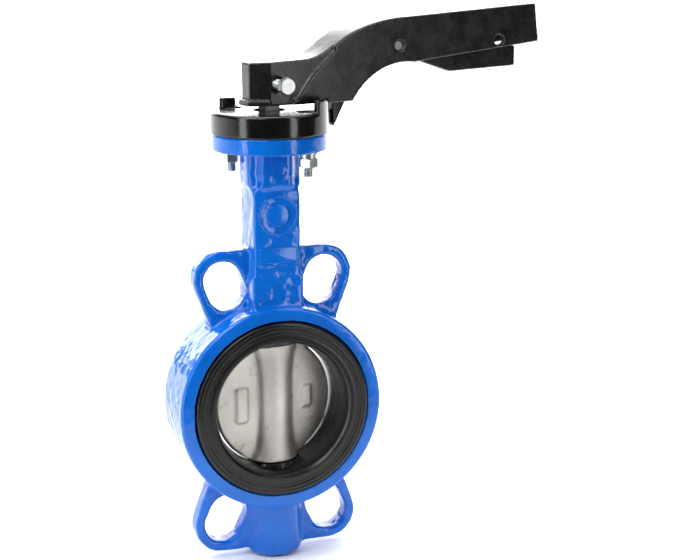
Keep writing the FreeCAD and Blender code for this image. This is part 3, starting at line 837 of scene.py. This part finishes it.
def make_bolts():
    """Socket-head screws through the plate and the flange, threaded where they show below it."""
    low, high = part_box("plate_bolts")
    head_height = 6 * MM
    socket_rim = 3.0 * MM
    seat = high.z - head_height
    head = [(socket_rim, head_height), (4.7 * MM, head_height), (5.0 * MM, 5.7 * MM), (5.0 * MM, 0.2 * MM),
            (4.8 * MM, 0), (BOLT_RADIUS, 0)]
    meshes = []
    for i, (x, y) in enumerate(bolt_places()):
        here = Matrix.Translation((x, y, 0)) @ Matrix.Rotation(0.2 + 0.7 * i, 4, "Z")
        rows = [circle(radius, seat + height, 72, here) for radius, height in head]
        rows.append(circle(BOLT_RADIUS, flange_bottom, 72, here))
        down = here @ Matrix.Rotation(math.pi, 4, "X")
        start = -flange_bottom + 0.05 * MM
        thread = thread_rows(BOLT_RADIUS, BOLT_PITCH, start, -low.z, down, count=72)
        for row in thread:
            row.reverse()
        meshes.append(grid_mesh("bolt", rows + thread, crease=30))
        top = here @ Matrix.Translation((0, 0, seat + head_height))
        meshes.append(hexagon_socket(top, 5.0 * MM, 3.0 * MM, socket_rim))
        meshes.append(end_cap(here, low.z, 2.2 * MM))
    new_piece("socket_bolts", joined("socket_bolts", meshes), "body", "zinc_steel", "plate_bolts")


def hexagon_socket(place, across, depth, rim, count=72):
    """The sunk hexagon of a socket head, from the head's rim inwards."""
    rows = [circle(rim, 0.0, count, place)]
    for height, shrink in ((0.0, 1.0), (-depth, 1.0), (-depth - 0.4 * MM, 0.3), (-depth - 0.5 * MM, 0.02)):
        row = []
        for turn in turns_round(count):
            reach = hexagon_radius(turn, across) * shrink
            row.append(place @ Vector((reach * math.cos(turn), reach * math.sin(turn), height)))
        rows.append(row)
    return grid_mesh("socket", rows, crease=30)


def end_cap(place, height, radius):
    """A bolt's chamfered, slightly domed end."""
    chamfer = 0.35 * MM
    dome = 0.02 * MM
    profile = [(radius + chamfer, height + chamfer), (radius, height), (radius * 0.5, height - dome),
               (dome, height - dome)]
    return grid_mesh("cap", [circle(r, z, 72, place) for r, z in profile], crease=60)


def make_clamp_screw():
    """A hex head with turned-off corners, and a threaded shank into the lever's head."""
    low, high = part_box("clamp_screw")
    height = (low.z + high.z) / 2
    head_top = LEVER_HALF + CLAMP_STANDOFF + CLAMP_HEAD
    out = lever_frame @ Matrix.Translation((0, 0, height)) @ Matrix.Rotation(math.radians(90), 4, "X")
    head_turn = Matrix.Rotation(math.radians(25), 4, "Z")
    head_place = out @ Matrix.Translation((0, 0, head_top - CLAMP_HEAD)) @ head_turn
    rows = hex_rows(CLAMP_ACROSS, CLAMP_HEAD, head_place, 0.02 * MM)
    meshes = [grid_mesh("head", rows, closed_rows=True, crease=28)]
    shank_top = head_top - CLAMP_HEAD + 0.1 * MM
    shank_end = 4.6 * MM
    inwards = out @ Matrix.Translation((0, 0, shank_top)) @ Matrix.Rotation(math.pi, 4, "X")
    rows = thread_rows(BOLT_RADIUS, BOLT_PITCH, 0.0, shank_top - shank_end, inwards)
    meshes.append(grid_mesh("shank", rows, caps=True, crease=50))
    screw = joined("clamping_screw", meshes)
    new_piece("clamping_screw", screw, "lever_and_disc", "zinc_steel", "clamp_screw")


def make_spring():
    """The trigger's coil, copied from the CAD spring and shaded smooth."""
    mesh = nodes["trigger_spring"].data.copy()
    mesh.shade_smooth()
    spring = new_piece("coil_spring", mesh, "lever_and_disc", "spring_steel", "trigger_spring")
    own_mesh(spring)


make_spring()
make_nuts()
make_washers()
make_bolts()
make_clamp_screw()


def soften_edges(name, width):
    """A small bevel on a CAD piece that is shown as it is."""
    modifier = nodes[name].modifiers.new("soft_edges", "BEVEL")
    modifier.width = width
    modifier.segments = 2
    modifier.limit_method = "ANGLE"
    modifier.angle_limit = math.radians(35)


for name in ("upper_stem", "trigger_pivot_pin", "bottom_plug", "plate_spring_washers", "top_bush",
             "retaining_ring"):
    soften_edges(name, 0.2 * MM)


# ---------------------------------------------------------------- stage and light

def make_stage():
    """A pale floor under the overhead light, which ends a little in front of the valve."""
    floor_z = cad_box[0].z - 0.5 * MM
    side = 7.0
    front = -0.30
    back = 9.0
    outline = ((-side, front), (side, front), (side, back), (-side, back))
    bm = bmesh.new()
    bm.faces.new([bm.verts.new((x, y, floor_z)) for x, y in outline])
    mesh = bpy.data.meshes.new("floor")
    bm.to_mesh(mesh)
    bm.free()
    floor = bpy.data.objects.new("floor", mesh)
    bpy.context.scene.collection.objects.link(floor)
    s = Shader("pale_floor")
    s.set(metallic=0.0, roughness=0.8)
    s.colour(s.ramp(s.noise(3, 2), [(0.3, (0.93, 0.93, 0.93)), (0.7, (0.95, 0.95, 0.95))]))
    mesh.materials.append(s.material)


def make_world():
    """A white backdrop for the camera, and a dim one for light and reflections."""
    world = bpy.data.worlds.new("studio")
    bpy.context.scene.world = world
    world.use_nodes = True
    tree = world.node_tree
    dim = tree.nodes["Background"]
    pale = tree.nodes.new("ShaderNodeBackground")
    for background, strength in ((dim, 0.06), (pale, 1.0)):
        background.inputs["Color"].default_value = (1.0, 1.0, 1.0, 1.0)
        background.inputs["Strength"].default_value = strength
    path = tree.nodes.new("ShaderNodeLightPath")
    mix = tree.nodes.new("ShaderNodeMixShader")
    tree.links.new(path.outputs["Is Camera Ray"], mix.inputs["Fac"])
    tree.links.new(dim.outputs["Background"], mix.inputs[1])
    tree.links.new(pale.outputs["Background"], mix.inputs[2])
    tree.links.new(mix.outputs["Shader"], tree.nodes["World Output"].inputs["Surface"])


def make_lights():
    """Two tall strips for the narrow reflections, soft fills, and panels that whiten the floor and back."""
    area_light("strip_left", -68, 24, distance=0.75, width=0.20, height=1.5, power=5.4)
    area_light("strip_right", 30, 16, distance=0.75, width=0.17, height=1.0, power=2.5)
    area_light("high_left", -42, 46, distance=0.9, width=0.35, height=0.40, power=2.0)
    area_light("side_left", -130, 8, distance=1.5, width=1.4, height=1.4, power=3.0)
    area_light("back_panel", 160, 17, distance=2.6, width=4.8, height=1.5, power=115.0)
    area_light("floor_wash", 0, 90, distance=1.8, width=16.0, height=11.0, power=950.0,
               aim=(0, 5.2, 0), spread=100)


def plain_colours():
    """Shows colours as they are, without a film look."""
    view = bpy.context.scene.view_settings
    view.view_transform = "Standard"
    view.look = "None"
    view.exposure = 0.0


make_camera()
make_stage()
make_world()
make_lights()
plain_colours()
